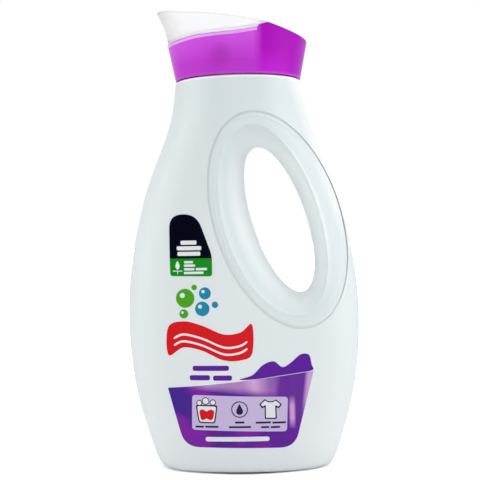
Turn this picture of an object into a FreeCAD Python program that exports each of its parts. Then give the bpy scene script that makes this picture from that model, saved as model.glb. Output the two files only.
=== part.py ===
import FreeCAD, Part
import math
import os
import Sketcher

# Laundry detergent bottle with a handle opening, screw closure and dosing cup.
# Origin: centre of the standing face. Front faces -Y, handle at +X, pouring side -X.
os.makedirs("parts", exist_ok=True)
doc = FreeCAD.newDocument("DetergentBottle")
sheet = doc.addObject("Spreadsheet::Sheet", "Dims")

# Each oval section of the blown body: height, half width, half depth and fullness.
# A fullness of 2 is a plain ellipse; more makes the faces flatter and the ends fuller.
sections = {
    "sole": (0, 39, 20.6, 2.4),
    "foot": (1.6, 42, 23.7, 2.4),
    "ankle": (5.4, 44.25, 25.8, 2.4),
    "heel": (13.2, 46.85, 28.3, 2.45),
    "thigh": (23, 49.9, 29.7, 2.45),
    "hip": (35.8, 53.1, 31, 2.45),
    "belly": (64, 56.4, 32, 2.45),
    "waist": (91.4, 55.5, 32, 2.4),
    "chest": (117.8, 50.8, 31.7, 2.35),
    "breast": (141.3, 43.9, 31.3, 2.25),
    "nape": (161, 36, 30.8, 2.1),
    "throat": (174.3, 32.2, 30.5, 2.02),
    "brow": (187, 30.5, 30.5, 2),
}
# Ovals of the handle dish: half length, half width and distance from the middle plane.
ovals = {
    "hole": (37.1, 13.2, 0),
    "slope": (39.2, 15.6, 14),
    "lip": (43.4, 20.6, 25),
    "brim": (49.5, 27, 34),
}
# Corners of the label films on the front face: across, up and how far the corner is rounded.
films = {
    "panel": [(-34.9, 41.3, 0.6), (-26.1, 12.6, 7), (24.8, 12.5, 7), (33.4, 47.6, 0.6), (-4.5, 44.3, 14)],
    "badge": [(-32.6, 93.2, 1.2), (-12.7, 93, 1.2), (-12.7, 103, 2.5), (-19.2, 122.2, 4.6), (-32.6, 122.2, 8)],
}
values = {
    "wall": 1.1,
    "dish_x": 18.6,
    "dish_z": 119.8,
    "dish_tilt": 17.5,
    "groove_long": 52.6,
    "groove_short": 30,
    "groove_depth": 0.5,
    "groove_size": 1.1,
    "push_up": 2.2,
    "push_margin": 5,
    "shoulder_rise": 0.7,
    "shoulder_round": 1.2,
    "neck_radius": 21,
    "neck_bore": 19.4,
    "neck_rise": 9.7,
    "spout_play": 0.05,
    "spout_wall": 1.1,
    "flange_radius": 20.8,
    "flange_thick": 0.9,
    "funnel_sink": 10.4,
    "funnel_fall": 4.8,
    "tube_radius": 8.6,
    "tube_sink": 0.1,
    "tube_length": 22.2,
    "drain_radius": 2.6,
    "seal_gap": 0.1,
    "seal_thick": 0.6,
    "seal_bore": 17.6,
    "seal_radius": 22,
    "deck_thick": 1.3,
    "skirt_gap": 0.4,
    "skirt_low": 30.4,
    "skirt_flare": 0.2,
    "skirt_wall": 1.4,
    "blank_spare": 2,
    "rim_rise": 5.2,
    "rim_low_x": 28,
    "rim_swell_x": 18,
    "rim_swell": 0.95,
    "rim_front": 1.6,
    "rim_near_hood": 2.3,
    "rim_sweep": 3.3,
    "hood_step": 0.9,
    "hood_step_run": 0.5,
    "hood_face": 11.3,
    "hood_high": 5.5,
    "hood_peak_x": 16.2,
    "hood_drop": 7.2,
    "hood_fall_x": 41,
    "hood_core": 25.2,
    "hood_core_rise": 4.6,
    "screw_bore": 22.4,
    "screw_wall": 1.4,
    "screw_gap": 1.5,
    "cup_gap": 0.35,
    "cup_wall": 1.3,
    "cup_foot_gap": 0.3,
    "cup_low_part": 8.5,
    "cup_waist_radius": 35.4,
    "cup_high_part": 10,
    "cup_top_radius": 37.4,
    "cup_lip_shift": 3,
    "mouth_drop_left": 1.7,
    "mouth_drop_mid": 6.2,
    "mouth_drop_right": 13.2,
    "film": 0.12,
}
# Heights that follow from others.
heights = {
    "shoulder": "=brow_height + shoulder_rise",
    "neck_top": "=shoulder + neck_rise",
    "flange_top": "=neck_top + flange_thick",
    "funnel_rim": "=neck_top - funnel_sink",
    "funnel_low": "=funnel_rim - funnel_fall",
    "tube_tip": "=flange_top - tube_sink",
    "tube_base": "=tube_tip - tube_length",
    "seal_base": "=flange_top + seal_gap",
    "seal_top": "=seal_base + seal_thick",
    "deck_base": "=seal_top",
    "deck_top": "=deck_base + deck_thick",
    "skirt_base": "=shoulder + skirt_gap",
    "screw_base": "=shoulder + screw_gap",
    "rim": "=deck_top + rim_rise",
    "hood_rise": "=rim + rim_sweep",
    "hood_peak": "=rim + hood_high",
    "hood_fall": "=hood_peak - hood_drop",
    "hood_core_top": "=deck_base + hood_core_rise",
    "cup_base": "=deck_top + cup_foot_gap",
    "blank_top": "=hood_peak + blank_spare",
    "cup_waist": "=rim + cup_low_part",
    "cup_top": "=cup_waist + cup_high_part",
    "cup_mouth_left": "=cup_top - mouth_drop_left",
    "cup_mouth_mid": "=cup_top - mouth_drop_mid",
    "cup_mouth_right": "=cup_top - mouth_drop_right",
}
row = 1
for name, (height, halfWidth, halfDepth, fullness) in sections.items():
    values[name + "_height"] = height
    values[name + "_width"] = halfWidth
    values[name + "_depth"] = halfDepth
    values[name + "_full"] = fullness
for name, (halfLong, halfShort, out) in ovals.items():
    values[name + "_long"] = halfLong
    values[name + "_short"] = halfShort
    values[name + "_out"] = out
for name, corners in films.items():
    for number, (across, up, bend) in enumerate(corners):
        values["%s_%d_across" % (name, number)] = across
        values["%s_%d_up" % (name, number)] = up
        values["%s_%d_bend" % (name, number)] = bend
values.update(heights)
for name, value in values.items():
    sheet.set("A%d" % row, name.replace("_", " "))
    sheet.set("B%d" % row, str(value))
    sheet.setAlias("B%d" % row, name)
    row += 1
doc.recompute()


def dim(name):
    return float(sheet.get(name))


def vec(x, y, z=0.0):
    return FreeCAD.Vector(x, y, z)


def planeOf(body, role):
    for item in body.Origin.OriginFeatures:
        if item.Role == role:
            return item
    return None


def newBody(label):
    body = doc.addObject("PartDesign::Body", label)
    body.Label = label
    return body


def newSketch(body, name, role, offset=None):
    sketch = body.newObject("Sketcher::SketchObject", name)
    sketch.AttachmentSupport = [(planeOf(body, role), "")]
    sketch.MapMode = "FlatFace"
    if offset is not None:
        sketch.setExpression("AttachmentOffset.Base.z", offset)
    return sketch


def bind(sketch, kind, parts, value, name, formula):
    index = sketch.addConstraint(Sketcher.Constraint(kind, *parts, value))
    sketch.renameConstraint(index, name)
    sketch.setExpression("Constraints." + name, formula)


def ovalWire(section, inset, height):
    # One smooth closed curve through points at even angles of the full oval.
    half = dim(section + "_width") - inset
    deep = dim(section + "_depth") - inset
    power = 2 / dim(section + "_full")
    spots = []
    count = 12
    for step in range(count):
        angle = 2 * math.pi * step / count
        across = math.copysign(abs(math.cos(angle)) ** power, math.cos(angle))
        out = math.copysign(abs(math.sin(angle)) ** power, math.sin(angle))
        spots.append(vec(half * across, deep * out, height))
    curve = Part.BSplineCurve()
    curve.interpolate(spots, PeriodicFlag=True, Parameters=[step / count for step in range(count + 1)])
    return Part.Wire(curve.toShape())


def ovalFace(long, short):
    # Tilted oval in the middle plane, round the handle opening.
    lean = math.radians(90 + dim("dish_tilt"))
    along = vec(math.cos(lean), 0, math.sin(lean))
    across = vec(0 - math.sin(lean), 0, math.cos(lean))
    centre = vec(dim("dish_x"), -40, dim("dish_z"))
    return Part.Wire(Part.Ellipse(centre + along * long, centre + across * short, centre).toShape())


def ovalLoft(label, inset, floor, roof):
    rings = []
    for section in sections:
        height = dim(section + "_height")
        if floor > 0 and section in ("sole", "ankle"):
            continue
        if section == "foot":
            height = max(height, floor)
        if section == "brow":
            height -= roof
        rings.append(ovalWire(section, inset, height))
    item = doc.addObject("Part::Feature", label)
    item.Shape = Part.makeLoft(rings, True, False)
    return item


def ellipseWire(name, depth, grow=0.0, tilt="dish_tilt"):
    half = dim(name + "_long") + grow
    side = dim(name + "_short") + grow
    lean = math.radians(90 + dim(tilt))
    along = vec(math.cos(lean), 0, math.sin(lean))
    across = vec(-math.sin(lean), 0, math.cos(lean))
    centre = vec(dim("dish_x"), depth, dim("dish_z"))
    return Part.Wire(Part.Ellipse(centre + along * half, centre + across * side, centre).toShape())


def dishTool(label, grow):
    # Two curved funnels meet at the middle plane, one from the front and one from the back.
    halves = []
    for side in (-1, 1):
        rings = [ellipseWire(name, side * dim(name + "_out"), grow) for name in ovals]
        halves.append(Part.makeLoft(rings, True, False))
    tool = doc.addObject("Part::Feature", label)
    tool.Shape = halves[0].fuse(halves[1])
    return tool


def booleanOf(kind, name, base, tool):
    item = doc.addObject(kind, name)
    item.Base = base
    item.Tool = tool
    return item


def profileBody(label, points, kind="PartDesign::Revolution"):
    # Turned piece: a closed profile of (radius, height) pairs, bound to the sheet by formulas.
    body = newBody(label)
    sketch = newSketch(body, label + "Profile", "XZ_Plane")
    outline(sketch, points)
    turned = body.newObject(kind, label + "Turned")
    turned.Profile = sketch
    turned.ReferenceAxis = (sketch, ["V_Axis"])
    turned.Angle = 360
    body.Tip = turned
    return body, sketch


def value(formula):
    plain = formula
    for name in sorted(values, key=len, reverse=True):
        plain = plain.replace("Dims." + name, "(%r)" % dim(name))
    return FreeCAD.Units.Quantity(plain).Value


def full(formula):
    # Puts the sheet's name before each alias in a short formula.
    words = []
    for word in formula.replace("(", "( ").replace(")", " )").split():
        words.append("Dims." + word if word in values else word)
    return " ".join(words)


def outline(sketch, points):
    # Straight-sided closed outline; each corner sits at two sheet formulas.
    corners = [(full(across), full(up)) for across, up in points]
    spots = [vec(value(across), value(up)) for across, up in corners]
    first = sketch.GeometryCount
    count = len(spots)
    for number in range(count):
        sketch.addGeometry(Part.LineSegment(spots[number], spots[(number + 1) % count]), False)
    for number in range(count):
        sketch.addConstraint(Sketcher.Constraint("Coincident", first + number, 2,
                                                 first + (number + 1) % count, 1))
    for number, (across, up) in enumerate(corners):
        for kind, formula, at in (("DistanceX", across, spots[number].x), ("DistanceY", up, spots[number].y)):
            name = "corner%d%s" % (number, kind[-1])
            index = sketch.addConstraint(Sketcher.Constraint(kind, -1, 1, first + number, 1, at))
            sketch.renameConstraint(index, name)
            sketch.setExpression("Constraints." + name, formula)


# Bottle: outer and inner lofts, then the turned shoulder and neck.
outerLoft = ovalLoft("outerLoft", 0.0, 0.0, 0.0)
innerLoft = ovalLoft("innerLoft", dim("wall"), dim("wall") + dim("push_up"), dim("wall"))

outerDish = dishTool("outerDish", 0.0)
innerDish = dishTool("innerDish", dim("wall"))
skin = booleanOf("Part::Cut", "skin", outerLoft, outerDish)
cavity = booleanOf("Part::Cut", "cavity", innerLoft, innerDish)
doc.recompute()

neckBody, neckSketch = profileBody("neckForm", [
    ("0", "brow_height - 4"),
    ("brow_width - shoulder_round / 2", "brow_height - 4"),
    ("brow_width - shoulder_round / 2", "shoulder - shoulder_round / 3"),
    ("brow_width - shoulder_round", "shoulder"),
    ("neck_radius", "shoulder"),
    ("neck_radius", "neck_top"),
    ("0", "neck_top"),
])
boreBody, boreSketch = profileBody("neckBore", [
    ("0", "brow_height - 8"),
    ("brow_width - 2 * wall", "brow_height - 8"),
    ("brow_width - 2 * wall", "shoulder - wall"),
    ("neck_bore", "shoulder - wall"),
    ("neck_bore", "neck_top + 1"),
    ("0", "neck_top + 1"),
])
doc.recompute()

# Push-up of the base: a shallow oval dish inside the standing ring.
pushTool = doc.addObject("Part::Feature", "pushTool")
low = ovalWire("sole", dim("push_margin"), -1.0)
high = ovalWire("sole", dim("push_margin") + 3, dim("push_up"))
pushTool.Shape = Part.makeLoft([low, high], True, False)

# Moulded groove round the dish: an oval ring pressed into both faces of the body.
grooveTool = doc.addObject("Part::Feature", "grooveTool")
long = dim("groove_long")
short = dim("groove_short")
size = dim("groove_size")
outerRing = Part.Face(ovalFace(long, short))
innerRing = Part.Face(ovalFace(long - size, short - size))
ringBar = outerRing.cut(innerRing).extrude(vec(0, 80, 0))
sunk = ovalLoft("sunkLoft", dim("groove_depth"), 0.0, 0.0)
grooveTool.Shape = ringBar.cut(sunk.Shape)

fused = booleanOf("Part::Fuse", "fused", skin, neckBody)
grooved = booleanOf("Part::Cut", "grooved", fused, grooveTool)
pushed = booleanOf("Part::Cut", "pushed", grooved, pushTool)
hollowed = booleanOf("Part::Cut", "hollowed", pushed, cavity)
bottle = booleanOf("Part::Cut", "bottle", hollowed, boreBody)
bottle.Label = "bottle"
doc.recompute()


# Spout fitting: a drain-back collector pressed in the neck, with an open pouring tube.
spoutBody, spoutSketch = profileBody("pour_spout", [
    ("tube_radius - spout_wall", "tube_base"),
    ("tube_radius", "tube_base"),
    ("tube_radius", "funnel_low - spout_wall"),
    ("neck_bore - spout_play", "funnel_rim - spout_wall"),
    ("neck_bore - spout_play", "neck_top"),
    ("flange_radius", "neck_top"),
    ("flange_radius", "flange_top"),
    ("neck_bore - spout_wall", "flange_top"),
    ("neck_bore - spout_wall", "funnel_rim"),
    ("tube_radius", "funnel_low"),
    ("tube_radius", "tube_tip"),
    ("tube_radius - spout_wall", "tube_tip"),
])


def pocketXZ(body, name, points):
    # Cuts an upright outline right through the body, both ways from the middle plane.
    sketch = newSketch(body, name + "Outline", "XZ_Plane")
    outline(sketch, points)
    pocket = body.newObject("PartDesign::Pocket", name)
    pocket.Profile = sketch
    pocket.Type = 1
    pocket.Midplane = True
    body.Tip = pocket
    return pocket


def discSketch(body, name, radius, height, centre="0"):
    sketch = newSketch(body, name, "XY_Plane", full(height))
    formula = full(radius)
    middle = full(centre)
    sketch.addGeometry(Part.Circle(vec(value(middle), 0), vec(0, 0, 1), value(formula)), False)
    bind(sketch, "Radius", (0,), value(formula), "radius", formula)
    bind(sketch, "DistanceX", (-1, 1, 0, 3), value(middle), "centre", middle)
    sketch.addConstraint(Sketcher.Constraint("PointOnObject", 0, 3, -1))
    return sketch


def chordSketch(body, name, radius, chord, height, rightSide=False):
    # A disc cut off by an upright chord; the larger left part, or the slice on the right.
    sketch = newSketch(body, name, "XY_Plane", full(height))
    reach = value(full(radius))
    cut = value(full(chord))
    half = math.acos(cut / reach)
    start, end = (-half, half) if rightSide else (half, 2 * math.pi - half)
    circle = Part.Circle(vec(0, 0), vec(0, 0, 1), reach)
    sketch.addGeometry(Part.ArcOfCircle(circle, start, end), False)
    top = vec(cut, reach * math.sin(end))
    foot = vec(cut, reach * math.sin(start))
    sketch.addGeometry(Part.LineSegment(top, foot), False)
    sketch.addConstraint(Sketcher.Constraint("Coincident", 0, 2, 1, 1))
    sketch.addConstraint(Sketcher.Constraint("Coincident", 1, 2, 0, 1))
    sketch.addConstraint(Sketcher.Constraint("Coincident", 0, 3, -1, 1))
    sketch.addConstraint(Sketcher.Constraint("Vertical", 1))
    bind(sketch, "Radius", (0,), reach, "radius", full(radius))
    bind(sketch, "DistanceX", (-1, 1, 1, 1), cut, "chord", full(chord))
    return sketch


def loftOf(body, kind, name, profile, others):
    loft = body.newObject("PartDesign::" + kind, name)
    loft.Profile = profile
    loft.Sections = others
    loft.Ruled = False
    body.Tip = loft
    return loft


pocketXZ(spoutBody, "tipSlant", [
    ("0 - tube_radius - 1", "tube_tip"),
    ("tube_radius", "funnel_low + 4"),
    ("tube_radius + 1", "funnel_low + 4"),
    ("tube_radius + 1", "tube_tip + 1"),
    ("0 - tube_radius - 1", "tube_tip + 1"),
])
drainSketch = discSketch(spoutBody, "drainDisc", "drain_radius", "tube_base", "(tube_radius + neck_bore) / 2")
drain = spoutBody.newObject("PartDesign::Pocket", "drain")
drain.Profile = drainSketch
drain.Type = 0
drain.Reversed = True
drain.setExpression("Length", "Dims.funnel_rim - Dims.tube_base")
spoutBody.Tip = drain

# Seal: a flat ring under the deck of the closure.
sealBody, sealSketch = profileBody("closure_seal", [
    ("seal_bore", "seal_base"),
    ("seal_radius", "seal_base"),
    ("seal_radius", "seal_top"),
    ("seal_bore", "seal_top"),
])

# Closure: flared skirt, deck and threaded inner skirt turned as one, then cut open on top.
flare = "skirt_low + skirt_flare * ( %s - skirt_base )"
closureBody, closureSketch = profileBody("closure", [
    ("0", "deck_base"),
    ("screw_bore", "deck_base"),
    ("screw_bore", "screw_base"),
    ("screw_bore + screw_wall", "screw_base"),
    ("screw_bore + screw_wall", "deck_base"),
    (flare % "deck_base" + " - skirt_wall", "deck_base"),
    ("skirt_low - skirt_wall", "skirt_base"),
    ("skirt_low", "skirt_base"),
    (flare % "blank_top", "blank_top"),
    ("0", "blank_top"),
])
lean = "( hood_peak_x - hood_face ) / ( hood_peak - deck_top )"
faceAt = "hood_face + " + lean + " * ( %s - deck_top )"
rimLine = [
    ("0 - 45", "rim"),
    ("0 - rim_low_x", "rim"),
    ("0 - rim_swell_x", "rim + rim_swell"),
    ("0", "rim + rim_front"),
    ("hood_face / 2", "rim + rim_near_hood"),
    ("hood_face", "hood_rise"),
    ("hood_face + hood_step_run", "hood_rise + hood_step"),
    ("hood_peak_x", "hood_peak"),
    ("hood_fall_x", "hood_fall"),
]
pocketXZ(closureBody, "rimCut", rimLine + [("45", "blank_top + 20"), ("0 - 45", "blank_top + 20")])
wellLow = chordSketch(closureBody, "wellLow", flare % "deck_top" + " - skirt_wall", "hood_face", "deck_top")
wellHigh = chordSketch(closureBody, "wellHigh", flare % "blank_top" + " - skirt_wall",
                       faceAt % "blank_top", "blank_top")
loftOf(closureBody, "SubtractiveLoft", "cupWell", wellLow, [wellHigh])
coreSketch = chordSketch(closureBody, "coreSlice", flare % "deck_base" + " - skirt_wall",
                         "hood_core", "deck_base", True)
core = closureBody.newObject("PartDesign::Pocket", "hoodCore")
core.Profile = coreSketch
core.Type = 0
core.Reversed = True
core.setExpression("Length", "Dims.hood_core_top - Dims.deck_base")
closureBody.Tip = core


def cupBody(label, inset):
    # The cup's form, or with an inset the space inside it, from the same lofts and cuts.
    body = newBody(label)
    less = " - %s" % inset
    more = " + %s" % inset
    low = discSketch(body, label + "Low", flare % "rim" + less, "rim - 1")
    mid = discSketch(body, label + "Mid", "cup_waist_radius" + less, "cup_waist")
    top = discSketch(body, label + "Top", "cup_top_radius" + less, "cup_top", "0 - cup_lip_shift")
    loftOf(body, "AdditiveLoft", label + "Wall", low, [mid, top])
    below = [(across, up + " + cup_gap" + more) for across, up in rimLine]
    pocketXZ(body, label + "Seat", below + [("45", "rim - 10"), ("0 - 45", "rim - 10")])
    nest = " - skirt_wall - cup_gap" + less
    nestLow = chordSketch(body, label + "NestLow", flare % "cup_base" + nest,
                          "hood_face - cup_gap" + less, "cup_base" + more)
    nestHigh = chordSketch(body, label + "NestHigh", flare % "hood_peak" + nest,
                           "hood_peak_x - cup_gap" + less, "hood_peak")
    loftOf(body, "AdditiveLoft", label + "Nest", nestLow, [nestHigh])
    pocketXZ(body, label + "Face", [
        ("hood_face - cup_gap" + less, "deck_top"),
        (faceAt % "cup_top" + " - cup_gap" + less, "cup_top"),
        (faceAt % "cup_top" + " - cup_gap" + less, "cup_top + 1"),
        ("45", "cup_top + 1"),
        ("45", "deck_top"),
    ])
    return body


cupForm = cupBody("cupForm", "0")
pocketXZ(cupForm, "cupMouth", [
    ("0 - cup_top_radius - cup_lip_shift - 1", "cup_mouth_left"),
    ("0 - cup_waist_radius * 0.7", "cup_mouth_mid"),
    ("hood_peak_x + 2", "cup_mouth_right"),
    ("45", "cup_mouth_right"),
    ("45", "cup_top + 1"),
    ("0 - cup_top_radius - cup_lip_shift - 1", "cup_top + 1"),
])
cupHollow = cupBody("cupHollow", "cup_wall")
doc.recompute()
cup = booleanOf("Part::Cut", "dosing_cup", cupForm, cupHollow)
cup.Label = "dosing_cup"
doc.recompute()

# Label films lie on the bottle's own surface, cut to outline.
filmLoft = ovalLoft("filmLoft", 0 - dim("film"), 0.0, 0.0)


def filmWire(name):
    # Straight sides with each corner turned by a short curve that leaves it at the bend's length.
    corners = []
    for number in range(len(films[name])):
        stem = "%s_%d_" % (name, number)
        corners.append((vec(dim(stem + "across"), 0, dim(stem + "up")), dim(stem + "bend")))
    edges = []
    last = None
    for number, (here, bend) in enumerate(corners):
        before = corners[number - 1][0]
        after = corners[(number + 1) % len(corners)][0]
        start = here + (before - here).normalize() * bend
        end = here + (after - here).normalize() * bend
        curve = Part.BezierCurve()
        curve.setPoles([start, here, end])
        if last is None:
            first = start
        else:
            edges.append(Part.LineSegment(last, start).toShape())
        edges.append(curve.toShape())
        last = end
    edges.append(Part.LineSegment(last, first).toShape())
    return Part.Wire(edges)


labels = []
for name in films:
    prism = Part.Face(filmWire(name)).extrude(vec(0, 0 - dim("belly_depth") * 2, 0))
    label = doc.addObject("Part::Feature", name + "_label")
    label.Label = name + "_label"
    label.Shape = prism.common(filmLoft.Shape).cut(outerLoft.Shape)
    labels.append(label)

nodes = [bottle, spoutBody, sealBody, closureBody, cup] + labels
for item in doc.Objects:
    if "Invalid" in item.State or "Error" in item.State:
        print("failed", item.Name, item.State, item.getStatusString())
for node in nodes:
    shape = node.Shape
    if shape.isNull() or not shape.isValid():
        print("bad shape", node.Label)
        continue
    print(node.Label, len(shape.Solids), round(shape.Volume / 1000, 2))
    shape.exportStep("parts/%s.step" % node.Label)
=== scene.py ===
import bpy
import math
from mathutils import Matrix, Vector
from mathutils.bvhtree import BVHTree
from mathutils.geometry import delaunay_2d_cdt


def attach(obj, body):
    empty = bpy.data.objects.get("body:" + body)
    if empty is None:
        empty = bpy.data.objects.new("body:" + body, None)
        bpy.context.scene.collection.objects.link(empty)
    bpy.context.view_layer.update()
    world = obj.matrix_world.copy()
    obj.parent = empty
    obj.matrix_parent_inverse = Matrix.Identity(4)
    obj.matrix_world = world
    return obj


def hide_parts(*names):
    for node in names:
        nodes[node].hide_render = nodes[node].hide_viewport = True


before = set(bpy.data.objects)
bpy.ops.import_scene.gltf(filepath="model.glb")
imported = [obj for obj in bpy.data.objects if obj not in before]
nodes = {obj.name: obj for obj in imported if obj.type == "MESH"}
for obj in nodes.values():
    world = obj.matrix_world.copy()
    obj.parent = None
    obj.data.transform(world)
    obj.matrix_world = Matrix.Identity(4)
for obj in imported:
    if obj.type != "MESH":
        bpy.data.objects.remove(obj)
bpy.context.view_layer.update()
scene = bpy.context.scene
collection = scene.collection
print("frame loaded")


# Node materials. Places in them are in metres of the part's own frame.
def newMaterial(name, settings):
    made = bpy.data.materials.new(name)
    made.use_nodes = True
    tree = made.node_tree
    tree.nodes.clear()
    out = tree.nodes.new("ShaderNodeOutputMaterial")
    skin = tree.nodes.new("ShaderNodeBsdfPrincipled")
    tree.links.new(skin.outputs["BSDF"], out.inputs["Surface"])
    for socket, value in settings.items():
        skin.inputs[socket].default_value = value
    return made, tree, skin


def put(tree, kind, **sockets):
    made = tree.nodes.new(kind)
    for socket, value in sockets.items():
        made.inputs[socket].default_value = value
    return made


def position(tree):
    return put(tree, "ShaderNodeTexCoord").outputs["Object"]


def axis(tree, index):
    made = put(tree, "ShaderNodeSeparateXYZ")
    tree.links.new(position(tree), made.inputs[0])
    return made.outputs[index]


def noise(tree, scale, detail=2.0):
    made = put(tree, "ShaderNodeTexNoise", Scale=scale, Detail=detail, Roughness=0.5)
    tree.links.new(position(tree), made.inputs["Vector"])
    return made.outputs["Fac"]


def spread(tree, source, ends=(0.3, 0.7), low=0.0, high=1.0):
    # low at the first end, high at the second, even between them and clamped beyond
    made = put(tree, "ShaderNodeMapRange")
    for socket, value in zip(("From Min", "From Max", "To Min", "To Max"), (*ends, low, high)):
        made.inputs[socket].default_value = value
    tree.links.new(source, made.inputs["Value"])
    return made.outputs["Result"]


def feed(tree, socket, value):
    if hasattr(value, "node"):
        tree.links.new(value, socket)
    else:
        socket.default_value = value


def mixColour(tree, share, first, second):
    made = put(tree, "ShaderNodeMix")
    made.data_type = "RGBA"
    feed(tree, made.inputs[0], share)
    for socket, value in ((made.inputs[6], first), (made.inputs[7], second)):
        feed(tree, socket, value if hasattr(value, "node") else (*value, 1.0))
    return made.outputs[2]


def doMath(tree, operation, *values):
    made = put(tree, "ShaderNodeMath")
    made.operation = operation
    for socket, value in zip(made.inputs, values):
        feed(tree, socket, value)
    return made.outputs[0]


def times(tree, first, second):
    return doMath(tree, "MULTIPLY", first, second)


def sumOfSquares(tree, first, second):
    return doMath(tree, "MULTIPLY_ADD", first, first, times(tree, second, second))


def bump(tree, skin, heights):
    previous = None
    for height, strength, distance in heights:
        made = put(tree, "ShaderNodeBump", Strength=strength, Distance=distance)
        tree.links.new(height, made.inputs["Height"])
        if previous:
            tree.links.new(previous, made.inputs["Normal"])
        previous = made.outputs["Normal"]
    tree.links.new(previous, skin.inputs["Normal"])


def cover(tree, skin, colour, grain, roughness):
    tree.links.new(colour, skin.inputs["Base Color"])
    tree.links.new(spread(tree, noise(tree, *grain), low=roughness[0], high=roughness[1]),
                   skin.inputs["Roughness"])


# Bottle: blown plastic with painted light and shade: lighter towards the foot, in the dish, on the grip and
# at the neck, darker in the band inside the groove
white = {
    "colours": ((0.675, 0.75, 0.762), (0.69, 0.762, 0.775)),
    "opening": (0.0186, 0.1198), "lean": 17.5,  # middle of the hand's opening, its tilt in degrees
    # painted light: the foot, the grip, the neck and the dish are coloured lighter; painted shade: the rim
    # band keeps a darker tone
    "foot": (0.825, 0.878, 0.892), "footHeights": (0.02, 0.19), "footShare": 0.85,
    "rim": (0.69, 0.765, 0.78), "rimOval": (51.5, 29), "rimFade": (0.9, 1.0),
    "gripPaintedLight": (0.97, 0.99, 0.992), "gripFrom": (0.024, 0.031), "gripHeights": (0.095, 0.125),
    "neckPaintedLight": (0.97, 0.98, 0.99), "neckHeights": (0.186, 0.187),
    "dishPaintedLight": (0.945, 0.985, 0.995), "dishOval": (43, 20.5), "dishFade": (0.86, 1.06),
    "ribOval": (50.4, 27.9), "ribFade": (0.004, 0.022), "partingFade": (0.0001, 0.00035),
    "roughness": (0.34, 0.46),
    "skin": {"Subsurface Weight": 0.12, "Subsurface Radius": (1.0, 0.97, 0.95), "Subsurface Scale": 0.004,
             "IOR": 1.5},
}


def blownWhite():
    made, tree, skin = newMaterial("bottleWhite", white["skin"])
    x, z = axis(tree, 0), axis(tree, 2)
    middleX, middleZ = white["opening"]
    lean = math.radians(white["lean"])
    fromX, fromZ = doMath(tree, "SUBTRACT", x, middleX), doMath(tree, "SUBTRACT", z, middleZ)
    across = doMath(tree, "ADD", times(tree, fromX, math.cos(lean)), times(tree, fromZ, math.sin(lean)))
    along = doMath(tree, "SUBTRACT", times(tree, fromZ, math.cos(lean)), times(tree, fromX, math.sin(lean)))

    def oval(halves):
        # 1 on a tilted oval round the opening, whose halves are in millimetres
        halfLong, halfShort = halves
        wide, tall = times(tree, across, 1000 / halfShort), times(tree, along, 1000 / halfLong)
        return doMath(tree, "SQRT", sumOfSquares(tree, wide, tall))

    colour = mixColour(tree, spread(tree, noise(tree, 30.0, 3.0)), *white["colours"])
    gripPaintedLight = times(tree, spread(tree, across, white["gripFrom"]), spread(tree, z, white["gripHeights"]))
    for share, shade in (
        # painted light: lighter towards the foot
        (spread(tree, z, white["footHeights"], white["footShare"], 0.0), "foot"),
        # painted shade: inside the groove's oval, on the recess's outer slope, the colour keeps a darker
        # tone
        (spread(tree, oval(white["rimOval"]), white["rimFade"], 1.0, 0.0), "rim"),
        # painted light: the grip is coloured lighter
        (gripPaintedLight, "gripPaintedLight"),
        # painted light: the shoulder's top under the collar and the neck are coloured near white
        (spread(tree, z, white["neckHeights"]), "neckPaintedLight"),
        # painted light: the dish is coloured lighter against its shade
        (spread(tree, oval(white["dishOval"]), white["dishFade"], 1.0, 0.0), "dishPaintedLight"),
    ):
        colour = mixColour(tree, share, colour, white[shade])
    cover(tree, skin, colour, (160.0, 3.0), white["roughness"])
    # the mould's parting line runs round the sides at the middle plane
    parting = spread(tree, doMath(tree, "ABSOLUTE", axis(tree, 1)), white["partingFade"], 1.0, 0.0)
    # a fine rib runs just inside the moulded groove
    fromRib = doMath(tree, "ABSOLUTE", doMath(tree, "SUBTRACT", oval(white["ribOval"]), 1.0))
    bump(tree, skin, [
        (noise(tree, 900.0, 3.0), 0.05, 0.0003),
        (noise(tree, 90.0), 0.12, 0.0004),
        (parting, 0.5, 0.0002),
        (spread(tree, fromRib, white["ribFade"], 1.0, 0.0), 0.7, 0.0003),
    ])
    return made


# Closure: painted light: the thin collar is coloured lighter where the white cup would shine through it, and
# the hollow hood deeper; the collar also darkens towards its foot
purple = {
    "hood": ((0.395, 0.002, 0.475), (0.425, 0.003, 0.505)), "hoodFrom": (0.009, 0.0135),
    "hoodFoot": (0.50, 0.012, 0.63), "hoodFootHeights": (0.2, 0.19), "hoodFootEnds": (0.02, 0.03),
    "collar": ((0.64, 0.085, 0.76), (0.67, 0.1, 0.79)),
    "low": (0.52, 0.04, 0.62), "lowHeights": (0.206, 0.194),
    "tube": (0.38, 0.03, 0.46), "tubePlace": (-0.0065, 0.1965), "tubeReach": 0.00004, "tubeShare": 0.55,
    "edge": (0.55, 0.075, 0.64), "edgeHeights": (0.1884, 0.1893),
    "roughness": (0.28, 0.32),
    "skin": {"Specular IOR Level": 0.08, "IOR": 1.49},
}


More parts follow.
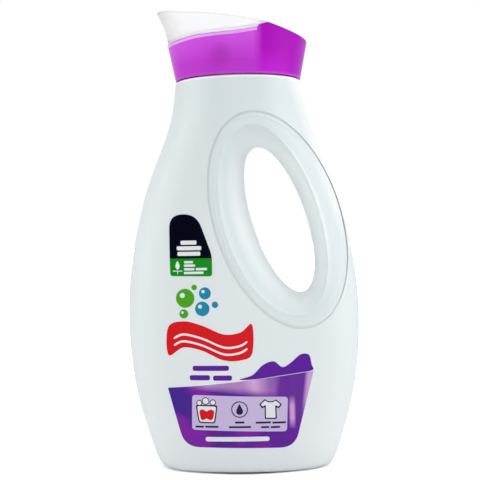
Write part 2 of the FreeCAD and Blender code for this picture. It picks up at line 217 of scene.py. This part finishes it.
def closurePurple():
    made, tree, skin = newMaterial("closurePurple", purple["skin"])
    x, z = axis(tree, 0), axis(tree, 2)
    tone = spread(tree, noise(tree, 60.0))
    foot = times(tree, spread(tree, z, purple["hoodFootHeights"]),
                 spread(tree, x, purple["hoodFootEnds"], 1.0, 0.0))
    hood = mixColour(tree, foot, mixColour(tree, tone, *purple["hood"]), purple["hoodFoot"])
    collar = mixColour(tree, tone, *purple["collar"])
    collar = mixColour(tree, spread(tree, z, purple["lowHeights"]), collar, purple["low"])
    # the tube inside shows as a soft shade
    tubeX, tubeZ = purple["tubePlace"]
    aside, above = doMath(tree, "SUBTRACT", x, tubeX), doMath(tree, "SUBTRACT", z, tubeZ)
    distance = sumOfSquares(tree, aside, above)
    shade = spread(tree, distance, (0.0, purple["tubeReach"]), purple["tubeShare"], 0.0)
    collar = mixColour(tree, shade, collar, purple["tube"])
    # painted light: lighter collar left of the hood, deeper purple on the hood
    colour = mixColour(tree, spread(tree, x, purple["hoodFrom"]), collar, hood)
    # painted light: the collar's shaded bottom edge gets a lighter purple
    colour = mixColour(tree, spread(tree, z, purple["edgeHeights"], 1.0, 0.0), colour, purple["edge"])
    cover(tree, skin, colour, (900.0, 1.0), purple["roughness"])
    bump(tree, skin, [(noise(tree, 2200.0, 1.0), 0.03, 0.00005)])
    return made


# Cup: frosted and nearly clear
frosted = {
    "colours": ((0.985, 0.99, 0.995), (0.995, 1.0, 1.0)), "roughness": (0.4, 0.55),
    "skin": {"Transmission Weight": 0.85, "Subsurface Weight": 0.1, "Subsurface Scale": 0.004, "IOR": 1.3},
}


def cupFrosted():
    made, tree, skin = newMaterial("cupFrosted", frosted["skin"])
    colour = mixColour(tree, spread(tree, noise(tree, 80.0)), *frosted["colours"])
    cover(tree, skin, colour, (500.0, 3.0), frosted["roughness"])
    bump(tree, skin, [(noise(tree, 1500.0, 3.0), 0.1, 0.0002)])
    return made


def plainPlastic(name, low, high, roughness, grain=800.0):
    made, tree, skin = newMaterial(name, {})
    colour = mixColour(tree, spread(tree, noise(tree, 120.0, 3.0)), low, high)
    cover(tree, skin, colour, (400.0, 3.0), (roughness - 0.05, roughness + 0.05))
    bump(tree, skin, [(noise(tree, grain), 0.06, 0.0002)])
    return made


def ink(name, colour, shine=0.12):
    made, tree, skin = newMaterial(name, {"Specular IOR Level": shine})
    darker = tuple(part * 0.92 for part in colour)
    cover(tree, skin, mixColour(tree, noise(tree, 1500.0, 3.0), darker, colour), (600.0, 2.0), (0.3, 0.4))
    bump(tree, skin, [(noise(tree, 900.0), 0.04, 0.0002)])
    return made


# Panel's ink: indigo at the left, violet in the middle, pale pink billows along the top
violet = {
    "left": (0.045, 0.014, 0.27), "middle": (0.105, 0.012, 0.30), "middleFrom": (-0.034, -0.006),
    "warm": (0.20, 0.014, 0.36), "cloud": (0.46, 0.62),
    "billow": (0.66, 0.37, 0.69), "billowSlope": 0.12, "billowHeights": (0.0385, 0.042),
    "billowFrom": (-0.028, -0.016), "billowEnds": (0.006, 0.013), "billowLeft": 0.3,
    "side": 0.5, "sideFrom": (0.019, 0.023), "sideHeights": (0.022, 0.032),
    "slope": -0.12, "deep": (0.115, 0.013, 0.31), "deepFrom": (0.0095, 0.0125), "deepShare": 0.9,
    "pale": (0.70, 0.40, 0.72), "paleFrom": (0.0235, 0.0255), "paleHeights": (0.026, 0.036),
    "paleShare": 0.85, "streak": 0.0231, "streakFade": (0.0006, 0.0017),
    "streakFoot": (0.022, 0.027), "streakTop": (0.033, 0.038),
    "roughness": (0.28, 0.38),
    "skin": {"Specular IOR Level": 0.15},
}


def panelInk():
    made, tree, skin = newMaterial("panelInk", violet["skin"])
    x, z = axis(tree, 0), axis(tree, 2)
    base = mixColour(tree, spread(tree, x, violet["middleFrom"]), violet["left"], violet["middle"])
    warm = mixColour(tree, spread(tree, noise(tree, 70.0, 1.0), violet["cloud"]), base, violet["warm"])
    # the pale band follows the slanted top edge and breaks up towards the right
    rise = doMath(tree, "MULTIPLY_ADD", x, violet["billowSlope"], z)
    band = times(tree, spread(tree, rise, violet["billowHeights"]), spread(tree, x, violet["billowFrom"]))
    band = times(tree, band, spread(tree, x, violet["billowEnds"], 1.0, violet["billowLeft"]))
    side = times(tree, spread(tree, x, violet["sideFrom"]), spread(tree, z, violet["sideHeights"]))
    where = doMath(tree, "MAXIMUM", band, times(tree, side, violet["side"]))
    fold = put(tree, "ShaderNodeTexWave", Scale=14.0, Distortion=5.0, Detail=1.0)
    fold.bands_direction = "DIAGONAL"
    tree.links.new(position(tree), fold.inputs["Vector"])
    billow = spread(tree, fold.outputs["Fac"], (0.25, 0.75), 0.6, 1.0)
    colour = mixColour(tree, times(tree, where, billow), warm, violet["billow"])
    # deep violet right of the pictures, and pale pink beyond it
    slant = doMath(tree, "MULTIPLY_ADD", z, violet["slope"], x)
    deep = spread(tree, slant, violet["deepFrom"], 0.0, violet["deepShare"])
    colour = mixColour(tree, deep, colour, violet["deep"])
    pale = times(tree, spread(tree, slant, violet["paleFrom"], 0.0, violet["paleShare"]),
                 spread(tree, z, violet["paleHeights"]))
    colour = mixColour(tree, pale, colour, violet["pale"])
    # one narrow pale streak falls beside the pictures
    beside = doMath(tree, "ABSOLUTE", doMath(tree, "SUBTRACT", x, violet["streak"]))
    tall = times(tree, spread(tree, z, violet["streakFoot"]), spread(tree, z, violet["streakTop"], 1.0, 0.0))
    streak = times(tree, spread(tree, beside, violet["streakFade"], violet["paleShare"], 0.0), tall)
    colour = mixColour(tree, streak, colour, violet["pale"])
    cover(tree, skin, colour, (600.0, 2.0), violet["roughness"])
    bump(tree, skin, [(noise(tree, 900.0), 0.04, 0.0002)])
    return made


def dress(node, material):
    nodes[node].data.materials.clear()
    nodes[node].data.materials.append(material)
    for face in nodes[node].data.polygons:
        face.material_index = 0


dress("bottle", blownWhite())
dress("closure", closurePurple())
dress("dosing_cup", cupFrosted())
dress("pour_spout", plainPlastic("spoutWhite", (0.8, 0.81, 0.82), (0.86, 0.87, 0.88), 0.4))
dress("closure_seal", plainPlastic("linerFoam", (0.85, 0.85, 0.84), (0.9, 0.9, 0.9), 0.7, 2500.0))
print("materials")

# Front face of the bottle, for prints that follow it
bottleMesh = nodes["bottle"].data
bottleTree = BVHTree.FromPolygons(
    [vertex.co.copy() for vertex in bottleMesh.vertices],
    [tuple(face.vertices) for face in bottleMesh.polygons],
)


def frontAt(x, z, lift):
    hit, normal = bottleTree.ray_cast(Vector((x, -0.1, z)), Vector((0, 1, 0)))[:2]
    if normal.y > 0:
        normal = -normal
    return hit + normal * lift


def meshPiece(name, vertices, faces, materials, body, faceMaterials=None):
    mesh = bpy.data.meshes.new(name)
    mesh.from_pydata([tuple(v) for v in vertices], [], faces)
    for item in materials:
        mesh.materials.append(item)
    for number, face in enumerate(mesh.polygons):
        face.use_smooth = True
        if faceMaterials:
            face.material_index = faceMaterials[number]
    piece = bpy.data.objects.new(name, mesh)
    collection.objects.link(piece)
    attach(piece, body)
    return piece


def resample(outline, step):
    spots = []
    count = len(outline)
    for number in range(count):
        first = Vector(outline[number])
        second = Vector(outline[(number + 1) % count])
        parts = max(1, math.ceil((second - first).length / step))
        for part in range(parts):
            spots.append(first.lerp(second, part / parts))
    return spots


def inside(x, z, outline):
    odd = False
    count = len(outline)
    for number in range(count):
        ax, az = outline[number]
        bx, bz = outline[(number + 1) % count]
        if (az > z) != (bz > z) and x < (bx - ax) * (z - az) / (bz - az) + ax:
            odd = not odd
    return odd


def patch(outline, lift, step):
    # a printed shape given in millimetres across the front, laid on the bottle's face
    rim = resample(outline, step)
    spots = [spot.copy() for spot in rim]
    edges = [(number, (number + 1) % len(rim)) for number in range(len(rim))]
    lowX, highX = min(s.x for s in rim), max(s.x for s in rim)
    lowZ, highZ = min(s.y for s in rim), max(s.y for s in rim)
    across = int((highX - lowX) / step)
    up = int((highZ - lowZ) / step)
    plain = [(s.x, s.y) for s in rim]
    for i in range(1, across + 1):
        for j in range(1, up + 1):
            x, z = lowX + i * step, lowZ + j * step
            near = min((s.x - x) ** 2 + (s.y - z) ** 2 for s in rim)
            if near > (step * 0.5) ** 2 and inside(x, z, plain):
                spots.append(Vector((x, z)))
    flat = delaunay_2d_cdt(spots, edges, [], 1, 1e-6)
    return [frontAt(v.x / 1000, v.y / 1000, lift / 1000) for v in flat[0]], [tuple(f) for f in flat[2]]


printing = {"film": 0.06, "loose": 0.05, "rise": 0.02}  # lowest layers, and the step between layers, in mm


def printed(name, shapes, materials, lowest):
    # each shape is an outline, its layer, its material and the size of its facets
    vertices, faces, marks = [], [], []
    for outline, layer, material, step in shapes:
        spots, triangles = patch(outline, lowest + layer * printing["rise"], step)
        first = len(vertices)
        vertices += spots
        for triangle in triangles:
            a, b, c = (vertices[first + corner] for corner in triangle)
            turned = (b - a).cross(c - a).y > 0
            corners = tuple(first + corner for corner in triangle)
            faces.append(corners[::-1] if turned else corners)
            marks.append(materials.index(material))
    return meshPiece(name, vertices, faces, materials, "bottle", marks)


def smoothLoop(points, steps=6):
    # closed Catmull-Rom curve through the points
    out = []
    count = len(points)
    for number in range(count):
        p0, p1, p2, p3 = (Vector(points[(number + k - 1) % count]) for k in range(4))
        for step in range(steps):
            t = step / steps
            spot = 0.5 * (2 * p1 + (p2 - p0) * t + (2 * p0 - 5 * p1 + 4 * p2 - p3) * t * t
                          + (3 * p1 - p0 - 3 * p2 + p3) * t ** 3)
            out.append((spot.x, spot.y))
    return out


def roundCorners(points, radius, steps=5):
    out = []
    count = len(points)
    for number in range(count):
        before, here, after = (Vector(points[(number + k - 1) % count]) for k in range(3))
        reach = radius[number] if isinstance(radius, list) else radius
        toBefore = before - here
        toAfter = after - here
        reach = min(reach, toBefore.length * 0.49, toAfter.length * 0.49)
        start = here + toBefore.normalized() * reach
        end = here + toAfter.normalized() * reach
        for step in range(steps + 1):
            t = step / steps
            spot = start * (1 - t) ** 2 + here * 2 * t * (1 - t) + end * t * t
            out.append((spot.x, spot.y))
    return out


def bar(x0, z0, x1, z1, radius):
    return roundCorners([(x0, z0), (x1, z0), (x1, z1), (x0, z1)], radius, 3)


def disc(x, z, radius, count=28):
    angles = [2 * math.pi * k / count for k in range(count)]
    return [(x + radius * math.cos(angle), z + radius * math.sin(angle)) for angle in angles]


navyInk = ink("navyInk", (0.0008, 0.001, 0.009), 0.03)
greenInk = ink("greenInk", (0.003, 0.26, 0.006))
whiteInk = ink("whiteInk", (0.80, 0.83, 0.85))
lilacInk = ink("lilacInk", (0.60, 0.50, 0.76))
darkInk = ink("darkInk", (0.015, 0.012, 0.06))
redInk = ink("redInk", (0.70, 0.006, 0.012))
violetInk = ink("violetInk", (0.11, 0.012, 0.33))
tealInk = ink("tealInk", (0.008, 0.25, 0.42))
limeInk = ink("limeInk", (0.07, 0.38, 0.012))

# Badge: navy crown over a green foot, with bars for words and a leaf; all prints are in millimetres
badge = {
    "split": 102.7, "left": -32.6, "right": -12.5,
    "crown": [(-32.6, 90), (-12.6, 90), (-12.5, 104), (-19.4, 123.3), (-32.6, 123.3)],
    "crownRadii": [0.1, 0.1, 3, 6.2, 8.6], "crownFrom": 95,
    "footLow": [(-32.5, 94.6), (-12.6, 94.3)], "footRadii": [0.1, 1.4, 1.4, 0.1],
    "words": [(110.1, 0.95, -27.2, -19.6), (107.5, 0.95, -29.1, -17.4), (104.9, 0.95, -28.8, -17.9),
              (101.0, 0.55, -25.7, -21.5), (99.4, 0.55, -25.8, -20.5), (97.7, 0.55, -25.8, -20.9),
              (97.7, 0.55, -20.2, -14.9), (96.0, 0.55, -25.9, -16.6)],  # height, half height, left, right
    "leaf": [(-28.9, 97.6), (-29.9, 98.8), (-29.7, 100.2), (-28.9, 101.6), (-28.1, 100.2), (-27.9, 98.8)],
    "ground": (-31.2, 96.7, -26.6, 97.1, 0.15), "stalk": (-29.05, 95.4, -28.75, 97, 0.1),
}
splitLeft, splitRight = (badge["left"], badge["split"]), (badge["right"], badge["split"])
crown = roundCorners(badge["crown"], badge["crownRadii"], 9)
crown = [spot for spot in crown if spot[1] > badge["crownFrom"]]
foot = roundCorners([splitLeft, *badge["footLow"], splitRight], badge["footRadii"])
shapes = [([splitLeft, splitRight, *crown], 0, navyInk, 1.0), (foot, 0, greenInk, 1.0)]
for up, half, start, end in badge["words"]:
    shapes.append((bar(start, up - half, end, up + half, half * 0.6), 1, whiteInk, 0.8))
for outline in (smoothLoop(badge["leaf"]), bar(*badge["ground"]), bar(*badge["stalk"])):
    shapes.append((outline, 1, whiteInk, 0.6))
badgePiece = printed("badgePrint", shapes, [navyInk, greenInk, whiteInk], printing["film"])
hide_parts("badge_label")
print("badge")

# Panel with generic laundry pictures: a tub of suds, a drop in a ring and a shirt
panel = {
    "outline": [(-35.1, 42), (-27.9, 13.8), (24, 13), (33.4, 49), (2.9, 45.4), (-19.6, 43.2)],
    "radii": [0.5, 7, 7, 0.5, 6, 6],
    "window": [(-23.5, 38.9), (-24.1, 22.2), (20.4, 20.9), (21.2, 37.4)],
    "tub": [(-22, 34.2), (-20.8, 25.5), (-13, 25.3), (-11.6, 34)],
    "tubInside": [(-21.3, 33.6), (-20.3, 26.1), (-13.5, 25.9), (-12.3, 33.4)],
    "wash": [(-20.2, 31.2), (-18.6, 32), (-16.9, 31.1), (-15.2, 31.9), (-13.4, 31.1), (-14, 27.6),
             (-15.4, 26.9), (-17, 27.6), (-18.6, 26.9), (-19.7, 27.6)],
    "suds": [(-20.2, 35.1, 1.4), (-17.2, 36, 1.8), (-13.8, 35.3, 1.5)], "sudsLine": 0.4,
    "ring": (-1.4, 31.9), "ringRadii": (3.9, 3.4),
    "drop": [(-1.4, 34.4), (-2.5, 32.4), (-3, 31.1), (-2.5, 29.8), (-1.4, 29.4), (-0.3, 29.8),
             (0.2, 31.1), (-0.3, 32.4)],
    "shirt": [(10.4, 36.7), (7.8, 34.2), (9.1, 32.2), (10.3, 32.9), (10.2, 27.2), (15.8, 27),
              (15.8, 32.7), (16.9, 32), (18.4, 33.9), (15.7, 36.4), (14.2, 35.5), (12, 35.6)],
    "shirtInside": [(10.5, 36), (8.6, 34.2), (9.3, 33.1), (10.9, 33.9), (10.8, 27.8), (15.2, 27.6),
                    (15.2, 33.7), (16.7, 32.9), (17.6, 33.9), (15.5, 35.8), (14.3, 35), (11.9, 35.1)],
    "words": [(-22.4, -18.4, 23.7), (-17.8, -11.5, 23.7), (-3.7, 0.7, 25.7), (-6.6, 3.7, 23.5),
              (5.9, 13, 25.5), (13.7, 20, 25.3), (8.4, 12.2, 23.3),
              (12.9, 17.2, 23.2)],  # left, right, height
    "wordHalf": 0.45, "footBar": (-17.8, 16.6, 12.2, 18.8, 1.0),
}
panelPaint = panelInk()
shapes = [
    (roundCorners(panel["outline"], panel["radii"], 8), 0, panelPaint, 1.0),
    (roundCorners(panel["window"], 1.6), 1, lilacInk, 1.0),
    (roundCorners(panel["tub"], 1.2), 2, darkInk, 0.8),
    (roundCorners(panel["tubInside"], 1.0), 3, whiteInk, 0.8),
    (smoothLoop(panel["wash"]), 4, redInk, 0.8),
]
for x, z, radius in panel["suds"]:
    shapes.append((disc(x, z, radius), 2, darkInk, 0.8))
    shapes.append((disc(x, z, radius - panel["sudsLine"]), 3, whiteInk, 0.8))
shapes += [
    (disc(*panel["ring"], panel["ringRadii"][0]), 2, darkInk, 0.8),
    (disc(*panel["ring"], panel["ringRadii"][1]), 3, lilacInk, 0.8),
    (smoothLoop(panel["drop"]), 4, darkInk, 0.6),
    (roundCorners(panel["shirt"], 0.5, 3), 2, darkInk, 0.8),
    (roundCorners(panel["shirtInside"], 0.4, 3), 3, whiteInk, 0.8),
]
for start, end, up in panel["words"]:
    half = panel["wordHalf"]
    shapes.append((bar(start, up - half, end, up + half, 0.25), 2, darkInk, 0.8))
shapes.append((bar(*panel["footBar"]), 1, whiteInk, 0.8))
panelInks = [panelPaint, lilacInk, darkInk, whiteInk, redInk]
panelPiece = printed("panelPrint", shapes, panelInks, printing["film"])
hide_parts("panel_label")
print("panel")

# Between badge and panel: a generic red ribbon, bubbles, bars for words and a violet wave
swirl = {
    "ribbon": [(-34.2, 70.5), (-27, 73.4), (-18, 71.4), (-8, 67.2), (0, 68), (5.4, 71.6), (5.2, 58.2),
               (0, 55), (-8.5, 55.2), (-18, 59.6), (-27, 61.2), (-34.3, 57.6)],
    "stripe": [(-31, 69.6), (-26.5, 71.2), (-18, 69.2), (-8, 65), (-1, 65.4), (2.6, 67.2)],
    "stripeDrops": (3.4, 6.6), "stripeWidth": 1.0,
    "bubbles": [(-25.6, 84.2, 4.4, limeInk), (-16.2, 86.4, 2.8, tealInk), (-17.6, 79.2, 3.4, tealInk),
                (-11.6, 81, 1.5, tealInk), (-26.4, 76.9, 2.1, limeInk), (-21.2, 89.2, 1.3, limeInk)],
    "glintFrom": 2.0, "glintAside": 0.3, "glintSize": 0.28,  # smallest bubble with a glint, shares of it
    "words": [(-22.9, -5.8, 51.4), (-24.4, -14.8, 47), (-13.4, -4.5, 46.8)], "wordHalf": 1.2,
    "wave": [(-1, 46), (5, 48), (10, 52.6), (15, 54.2), (19, 51.4), (23, 53.4), (27.6, 57), (31.4, 56.6),
             (32.6, 52), (33, 49.4), (26, 48.4), (16, 47.2), (6, 46)],
}
shapes = [(smoothLoop(swirl["ribbon"], 8), 0, redInk, 1.0)]
for drop in swirl["stripeDrops"]:
    upper = [(x, z - drop) for x, z in swirl["stripe"]]
    lower = [(x, z - swirl["stripeWidth"]) for x, z in reversed(upper)]
    shapes.append((smoothLoop(upper + lower), 1, whiteInk, 0.8))
for x, z, radius, colour in swirl["bubbles"]:
    shapes.append((disc(x, z, radius), 0, colour, 0.9))
    if radius > swirl["glintFrom"]:
        aside = radius * swirl["glintAside"]
        shapes.append((disc(x - aside, z + aside, radius * swirl["glintSize"], 16), 1, whiteInk, 0.7))
for start, end, up in swirl["words"]:
    half = swirl["wordHalf"]
    shapes.append((bar(start, up - half, end, up + half, 1.0), 0, violetInk, 0.9))
shapes.append((smoothLoop(swirl["wave"]), 0, violetInk, 0.9))
printed("swirlPrint", shapes, [redInk, violetInk, tealInk, limeInk, whiteInk], printing["loose"])
print("swirl")

# Thread ridges: three starts with a lead of 12 mm, outside the neck and inside the closure's sleeve
thread = {
    "starts": 3, "lead": 12.0, "sweep": 150, "steps": 50, "fadeSteps": 4, "width": 1.3, "reach": 0.75,
    "neckRadius": 20.95, "neckHeight": 190.4, "sleeveRadius": 22.45, "sleeveHeight": 189.9,
    "profile": [(0, -0.5), (0.62, -0.3), (1, 0), (0.62, 0.3), (0, 0.5)],  # shares of reach and width
}


def ringSpot(radius, angle, z):
    return radius * math.cos(angle) / 1000, radius * math.sin(angle) / 1000, z / 1000


def strip(first, steps, wide):
    # faces between rows of points, row after row from the point numbered first
    faces = []
    for step in range(steps):
        for side in range(wide - 1):
            a = first + step * wide + side
            faces.append((a, a + wide, a + wide + 1, a + 1))
    return faces


def threadRidges(name, radius, height, reach, body, material):
    vertices, faces = [], []
    steps, profile = thread["steps"], thread["profile"]
    for start in range(thread["starts"]):
        faces += strip(len(vertices), steps, len(profile))
        for step in range(steps + 1):
            turn = step / steps * thread["sweep"]
            angle = math.radians(turn + start * 360 / thread["starts"])
            fade = min(1, step / thread["fadeSteps"], (steps - step) / thread["fadeSteps"])
            for out, up in profile:
                z = height + thread["lead"] * turn / 360 + up * thread["width"]
                vertices.append(ringSpot(radius + reach * out * fade, angle, z))
    if reach < 0:
        faces = [corners[::-1] for corners in faces]
    return meshPiece(name, vertices, faces, [material], body)


threadRidges("neckThread", thread["neckRadius"], thread["neckHeight"], thread["reach"], "bottle",
             nodes["bottle"].data.materials[0])
threadRidges("sleeveThread", thread["sleeveRadius"], thread["sleeveHeight"], -thread["reach"], "closure",
             nodes["closure"].data.materials[0])

# Rolled lip along the collar's rim, up to the hood; its pale pink colour is a painted highlight
lip = {
    "base": 188.1, "radius": 30.4, "flare": 0.2, "ends": 11.0, "endHeight": 208.5, "meanHeight": 206.5,
    "steps": 160, "fadeSteps": 3,
    "rim": [(-45, 205.5), (-28, 205.5), (-18, 206.45), (0, 207.1), (5.65, 207.8), (11.3, 208.8)],
    "profile": [(-0.1, -0.22), (0.08, -0.26), (0.16, -0.4), (0.2, -0.7), (0.18, -1.1), (0.08, -1.38),
                (-0.12, -1.5)],  # out from the collar, down from the rim
}


def rimAt(x):
    spots = lip["rim"]
    for (x0, z0), (x1, z1) in zip(spots, spots[1:]):
        if x <= x1:
            return z0 + (z1 - z0) * max(0, x - x0) / (x1 - x0)
    return spots[-1][1]


def collarRadius(z):
    return lip["radius"] + lip["flare"] * (z - lip["base"])


def lipMesh():
    vertices = []
    steps = lip["steps"]
    edge = math.degrees(math.acos(lip["ends"] / collarRadius(lip["endHeight"])))
    for step in range(steps + 1):
        angle = math.radians(edge + (360 - 2 * edge) * step / steps)
        rim = lip["meanHeight"]
        for again in range(3):  # the rim's height and the collar's radius follow each other
            rim = rimAt(collarRadius(rim) * math.cos(angle))
        fade = min(1, step / lip["fadeSteps"], (steps - step) / lip["fadeSteps"])
        for out, up in lip["profile"]:
            radius = collarRadius(rim + up) + (out if out < 0 else out * fade)
            vertices.append(ringSpot(radius, angle, rim + up))
    return vertices, [corners[::-1] for corners in strip(0, steps, len(lip["profile"]))]


# pale pink: painted highlight along the collar's rim
lipHighlightPink = plainPlastic("lipHighlightPink", (0.78, 0.36, 0.88), (0.84, 0.42, 0.93), 0.3)
vertices, faces = lipMesh()
meshPiece("collarLip", vertices, faces, [lipHighlightPink], "closure")
print("threads and lip")

# Floor, light and camera
studio = {
    "floorHalf": 4.0,
    "floor": {"Base Color": (0.86, 0.86, 0.86, 1), "Roughness": 0.7, "Specular IOR Level": 0.1},
    "shadeHalves": (0.0295, 0.0206), "shadeFade": (1.08, 1.28), "shade": 0.02, "paper": 1.4,
    "farFade": (4.0, 30.0), "far": 1.8,
    "dim": 0.14, "bright": 0.78, "dimFade": (-0.9, 0.3),
    "boxes": [("leftBox", (-0.9, -0.2, 0.35), (0, 0, 0.11), 0.8, 1.0, 3.2),
              ("rightBox", (0.9, -0.2, 0.35), (0, 0, 0.11), 0.8, 1.0, 3.8),
              ("topBox", (0.1, -0.35, 1.1), (0, 0, 0.1), 0.9, 0.9, 4.6),
              ("frontBox", (0.0, -1.3, 0.12), (0, 0, 0.11), 1.0, 0.8, 4.2)],  # place, target, size, watts
}


def chooseShader(tree, share, first, second, out):
    made = put(tree, "ShaderNodeMixShader")
    for socket, source in zip(made.inputs, (share, first.outputs[0], second.outputs[0])):
        tree.links.new(source, socket)
    tree.links.new(made.outputs[0], out.inputs["Surface"])


half = studio["floorHalf"]
floorMesh = bpy.data.meshes.new("floor")
floorMesh.from_pydata([(-half, -half, 0), (half, -half, 0), (half, half, 0), (-half, half, 0)], [],
                      [(0, 1, 2, 3)])
floorObject = bpy.data.objects.new("floor", floorMesh)
collection.objects.link(floorObject)
made, tree, skin = newMaterial("floorWhite", studio["floor"])
# seen straight on, the floor is white paper with a painted contact shadow, narrower than the foot, where the
# bottle stands
paper = put(tree, "ShaderNodeBsdfDiffuse")
spanX, spanY = (times(tree, axis(tree, index), 1 / studio["shadeHalves"][index]) for index in (0, 1))
reach = doMath(tree, "SQRT", sumOfSquares(tree, spanX, spanY))
near = spread(tree, reach, studio["shadeFade"], studio["shade"], studio["paper"])
far = spread(tree, reach, studio["farFade"], 0.0, studio["far"])
tree.links.new(doMath(tree, "ADD", near, far), paper.inputs["Color"])
path = put(tree, "ShaderNodeLightPath")
chooseShader(tree, path.outputs["Is Camera Ray"], skin, paper, skin.outputs[0].links[0].to_node)
floorMesh.materials.append(made)

world = bpy.data.worlds.new("softWhite")
scene.world = world
world.use_nodes = True
tree = world.node_tree
tree.nodes.clear()
lamp = put(tree, "ShaderNodeBackground", Color=(1, 1, 1, 1))
seen = put(tree, "ShaderNodeBackground", Color=(1, 1, 1, 1), Strength=1.0)
heading = put(tree, "ShaderNodeSeparateXYZ")
tree.links.new(put(tree, "ShaderNodeTexCoord").outputs["Generated"], heading.inputs[0])
# the studio is darker on the camera's side
glow = spread(tree, heading.outputs[1], studio["dimFade"], studio["dim"], studio["bright"])
tree.links.new(glow, lamp.inputs["Strength"])
path = put(tree, "ShaderNodeLightPath")
either = doMath(tree, "MAXIMUM", path.outputs["Is Camera Ray"], path.outputs["Is Transmission Ray"])
chooseShader(tree, either, lamp, seen, put(tree, "ShaderNodeOutputWorld"))

for name, place, target, width, height, power in studio["boxes"]:
    data = bpy.data.lights.new(name, "AREA")
    data.shape = "RECTANGLE"
    data.size = width
    data.size_y = height
    data.energy = power
    box = bpy.data.objects.new(name, data)
    collection.objects.link(box)
    box.location = place
    box.rotation_mode = "QUATERNION"
    box.rotation_quaternion = (Vector(target) - Vector(place)).to_track_quat("-Z", "Y")

# Camera fitted to the photograph: metres, degrees, and the focal length in pixels of its picture
camera = {"distance": 0.528, "height": 0.1221, "side": -0.0009, "turn": 3.0, "tip": -1.3, "roll": 1.373,
          "pixels": 1072.8, "picture": 480, "sensor": 36}
cameraData = bpy.data.cameras.new("camera")
cameraData.sensor_width = camera["sensor"]
cameraData.lens = camera["sensor"] * camera["pixels"] / camera["picture"]
cameraObject = bpy.data.objects.new("camera", cameraData)
collection.objects.link(cameraObject)
turned = Matrix.Rotation(math.radians(camera["turn"]), 3, "Z")
tipped = Matrix.Rotation(math.radians(90 + camera["tip"]), 3, "X")
rolled = Matrix.Rotation(math.radians(-camera["roll"]), 3, "Z")
cameraObject.location = turned @ Vector((camera["side"], -camera["distance"], camera["height"]))
cameraObject.rotation_euler = (turned @ tipped @ rolled).to_euler()
scene.camera = cameraObject
scene.view_settings.view_transform = "Standard"
print("stage")
